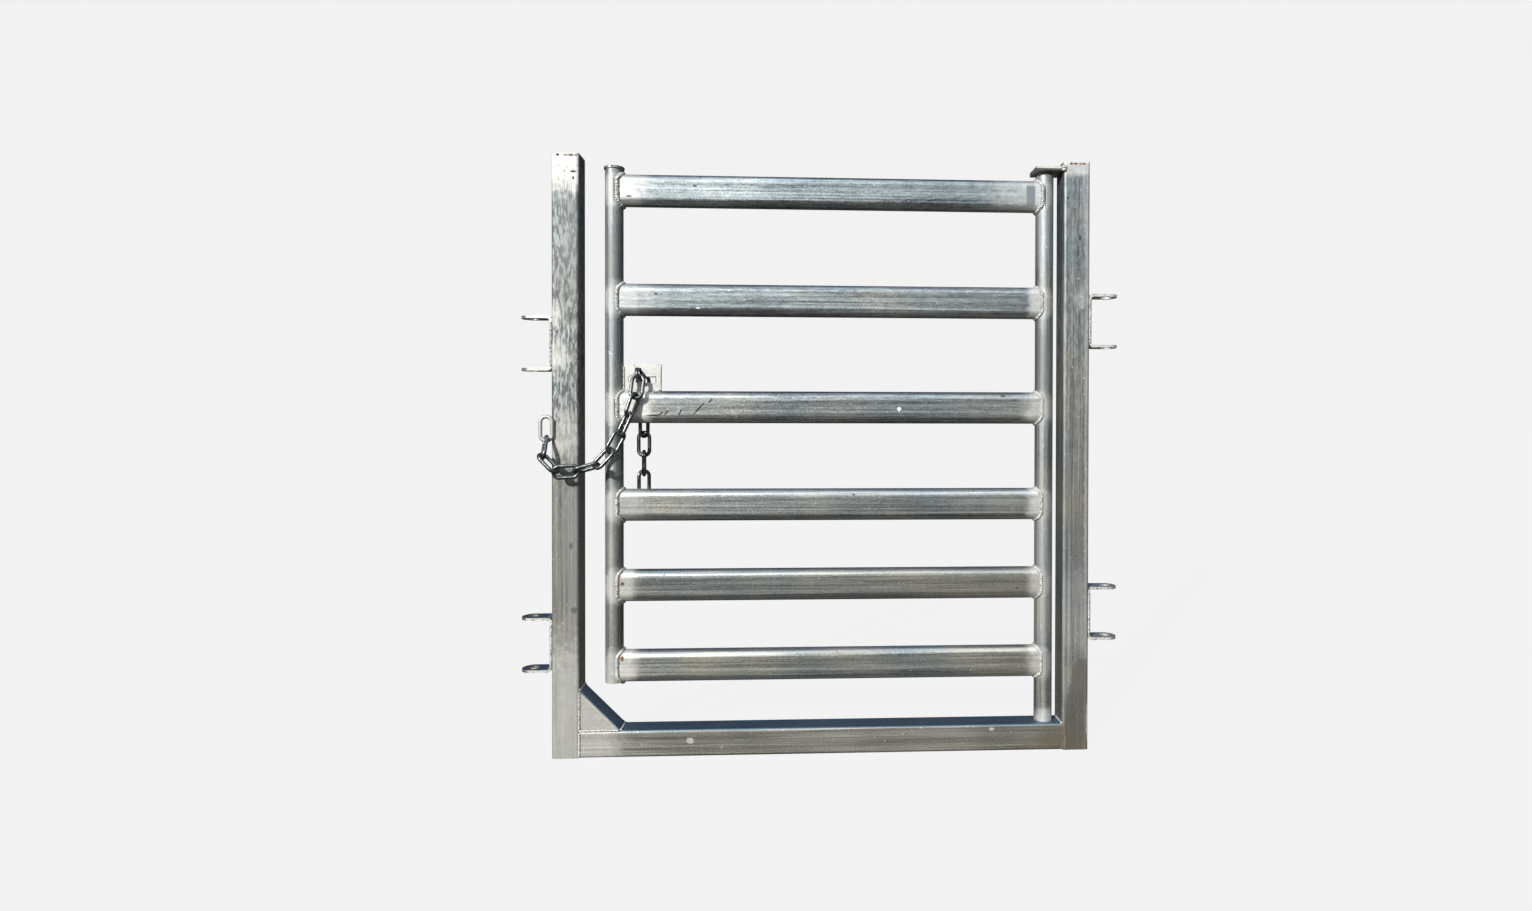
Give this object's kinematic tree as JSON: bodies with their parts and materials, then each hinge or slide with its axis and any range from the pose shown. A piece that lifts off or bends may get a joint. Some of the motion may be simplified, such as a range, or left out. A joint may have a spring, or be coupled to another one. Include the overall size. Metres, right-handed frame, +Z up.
{
  "type": "sheep gate",
  "caption": "Galvanised sheep hurdle gate: square-tube frame, hinged leaf of oval rails, chain latch in a keyhole keeper and pin lugs that join it to neighbouring hurdles.",
  "frame": {"origin": "middle of the sill's underside, on the ground", "axes": "+X from the latch post to the hinge post, +Y away from the viewer, the side the gate opens to, +Z up"},
  "size_m": [1.12, 0.1103, 1.11],
  "materials": {
    "galvanised_tube": "hot-dip galvanised",
    "zinc_sprayed_plate": "zinc sprayed",
    "pin_steel": "galvanised, worn",
    "chain_steel": "dull galvanised"
  },
  "bodies": {
    "frame": {"left_post": "galvanised_tube", "right_post": "galvanised_tube", "left_post_cap": "zinc_sprayed_plate", "right_post_cap": "zinc_sprayed_plate", "sill": "galvanised_tube", "corner_gusset": "galvanised_tube", "hinge_plate": "zinc_sprayed_plate", "upper_hinge_pin": "pin_steel", "lower_hinge_pin": "pin_steel", "left_upper_lug": "galvanised_tube", "left_lower_lug": "galvanised_tube", "right_upper_lug": "galvanised_tube", "right_lower_lug": "galvanised_tube", "chain_link_01": "galvanised_tube"},
    "gate": {"latch_stile": "galvanised_tube", "latch_stile_cap": "zinc_sprayed_plate", "hinge_stile": "galvanised_tube", "rail_1": "galvanised_tube", "rail_2": "galvanised_tube", "rail_3": "galvanised_tube", "rail_4": "galvanised_tube", "rail_5": "galvanised_tube", "rail_6": "galvanised_tube", "keeper_plate": "zinc_sprayed_plate"},
    "link_02": {"chain_link_02": "chain_steel"},
    "link_03": {"chain_link_03": "chain_steel"},
    "link_04": {"chain_link_04": "chain_steel"},
    "link_05": {"chain_link_05": "chain_steel"},
    "link_06": {"chain_link_06": "chain_steel"},
    "link_07": {"chain_link_07": "chain_steel"},
    "link_08": {"chain_link_08": "chain_steel"},
    "link_09": {"chain_link_09": "chain_steel"},
    "link_10": {"chain_link_10": "chain_steel"},
    "link_11": {"chain_link_11": "chain_steel"},
    "link_12": {"chain_link_12": "chain_steel"},
    "link_13": {"chain_link_13": "chain_steel"},
    "link_14": {"chain_link_14": "chain_steel"},
    "link_15": {"chain_link_15": "chain_steel"},
    "link_16": {"chain_link_16": "chain_steel"},
    "link_17": {"chain_link_17": "chain_steel"}
  },
  "joints": [
    {"name": "gate_swing", "type": "hinge", "parent": "frame", "child": "gate", "pos_m": [0.41965, 0, 0.05], "axis": [0, 0, -1], "range_deg": [0, 105]},
    {"name": "link_02_bend", "type": "hinge", "parent": "frame", "child": "link_02", "pos_m": [-0.5075, -0.02725, 0.5871], "axis": [0.007, -0.5, -0.866], "range_deg": [0, 24.58]},
    {"name": "link_03_bend", "type": "hinge", "parent": "link_02", "child": "link_03", "pos_m": [-0.50758, -0.04585, 0.55696], "axis": [0.2525, 0.6957, -0.6725], "range_deg": [0, 70.28]},
    {"name": "link_04_bend", "type": "hinge", "parent": "link_03", "child": "link_04", "pos_m": [-0.4824, -0.05138, 0.53289], "axis": [0.2302, 0.9218, -0.3119], "range_deg": [0, 50.42]},
    {"name": "link_05_bend", "type": "hinge", "parent": "link_04", "child": "link_05", "pos_m": [-0.45239, -0.04702, 0.52874], "axis": [0.8433, 0.5193, 0.1383], "range_deg": [0, 28.16]},
    {"name": "link_06_bend", "type": "hinge", "parent": "link_05", "child": "link_06", "pos_m": [-0.41174, -0.04648, 0.54202], "axis": [0.5078, 0.8257, 0.2456], "range_deg": [0, 39.67]},
    {"name": "link_07_bend", "type": "hinge", "parent": "link_06", "child": "link_07", "pos_m": [-0.39032, -0.04468, 0.56617], "axis": [0.3281, 0.8937, 0.3059], "range_deg": [0, 18.23]},
    {"name": "link_08_bend", "type": "hinge", "parent": "link_07", "child": "link_08", "pos_m": [-0.37183, -0.03872, 0.5984], "axis": [-0.3886, 0.1366, -0.9112], "range_deg": [0, 16.07]},
    {"name": "link_09_bend", "type": "hinge", "parent": "link_08", "child": "link_09", "pos_m": [-0.36022, -0.03484, 0.63177], "axis": [-0.2963, 0.0926, -0.9506], "range_deg": [0, 25.89]},
    {"name": "link_10_bend", "type": "hinge", "parent": "link_09", "child": "link_10", "pos_m": [-0.3472, -0.0256, 0.66854], "axis": [0.1175, 0.1924, -0.9743], "range_deg": [0, 29.14]},
    {"name": "link_11_bend", "type": "hinge", "parent": "link_10", "child": "link_11", "pos_m": [-0.34366, -0.01446, 0.70472], "axis": [0.9818, 0.1698, 0.0852], "range_deg": [0, 72.18]},
    {"name": "link_12_bend", "type": "hinge", "parent": "link_11", "child": "link_12", "pos_m": [-0.34407, 0.01164, 0.70475], "axis": [0.9996, -0.0062, -0.0272], "range_deg": [0, 70]},
    {"name": "link_13_bend", "type": "hinge", "parent": "link_12", "child": "link_13", "pos_m": [-0.34201, 0.02833, 0.66461], "axis": [0.6172, 0.1719, -0.7678], "range_deg": [0, 29.41]},
    {"name": "link_14_bend", "type": "hinge", "parent": "link_13", "child": "link_14", "pos_m": [-0.34273, 0.02925, 0.63084], "axis": [0.1927, 0.0196, -0.9811], "range_deg": [0, 23.5]},
    {"name": "link_15_bend", "type": "hinge", "parent": "link_14", "child": "link_15", "pos_m": [-0.34266, 0.03121, 0.595], "axis": [-0.0491, -0.01, -0.9987], "range_deg": [0, 23.08]},
    {"name": "link_16_bend", "type": "hinge", "parent": "link_15", "child": "link_16", "pos_m": [-0.34186, 0.03058, 0.55826], "axis": [0, 0, -1], "range_deg": [0, 23.05]},
    {"name": "link_17_bend", "type": "hinge", "parent": "link_16", "child": "link_17", "pos_m": [-0.34186, 0.03058, 0.52171], "axis": [0, 0, -1], "range_deg": [0, 23.05]}
  ],
  "couplings": [
    {"joint": "link_02_bend", "follows": "gate_swing", "ratio": 0.23359},
    {"joint": "link_03_bend", "follows": "gate_swing", "ratio": 0.66883},
    {"joint": "link_04_bend", "follows": "gate_swing", "ratio": 0.47975},
    {"joint": "link_05_bend", "follows": "gate_swing", "ratio": 0.26771},
    {"joint": "link_06_bend", "follows": "gate_swing", "ratio": 0.37737},
    {"joint": "link_07_bend", "follows": "gate_swing", "ratio": 0.1731},
    {"joint": "link_08_bend", "follows": "gate_swing", "ratio": 0.15254},
    {"joint": "link_09_bend", "follows": "gate_swing", "ratio": 0.24614},
    {"joint": "link_10_bend", "follows": "gate_swing", "ratio": 0.27704},
    {"joint": "link_11_bend", "follows": "gate_swing", "ratio": 0.68694},
    {"joint": "link_12_bend", "follows": "gate_swing", "ratio": 0.66617},
    {"joint": "link_13_bend", "follows": "gate_swing", "ratio": 0.27959},
    {"joint": "link_14_bend", "follows": "gate_swing", "ratio": 0.22329},
    {"joint": "link_15_bend", "follows": "gate_swing", "ratio": 0.21932},
    {"joint": "link_16_bend", "follows": "gate_swing", "ratio": 0.21905},
    {"joint": "link_17_bend", "follows": "gate_swing", "ratio": 0.21905}
  ]
}
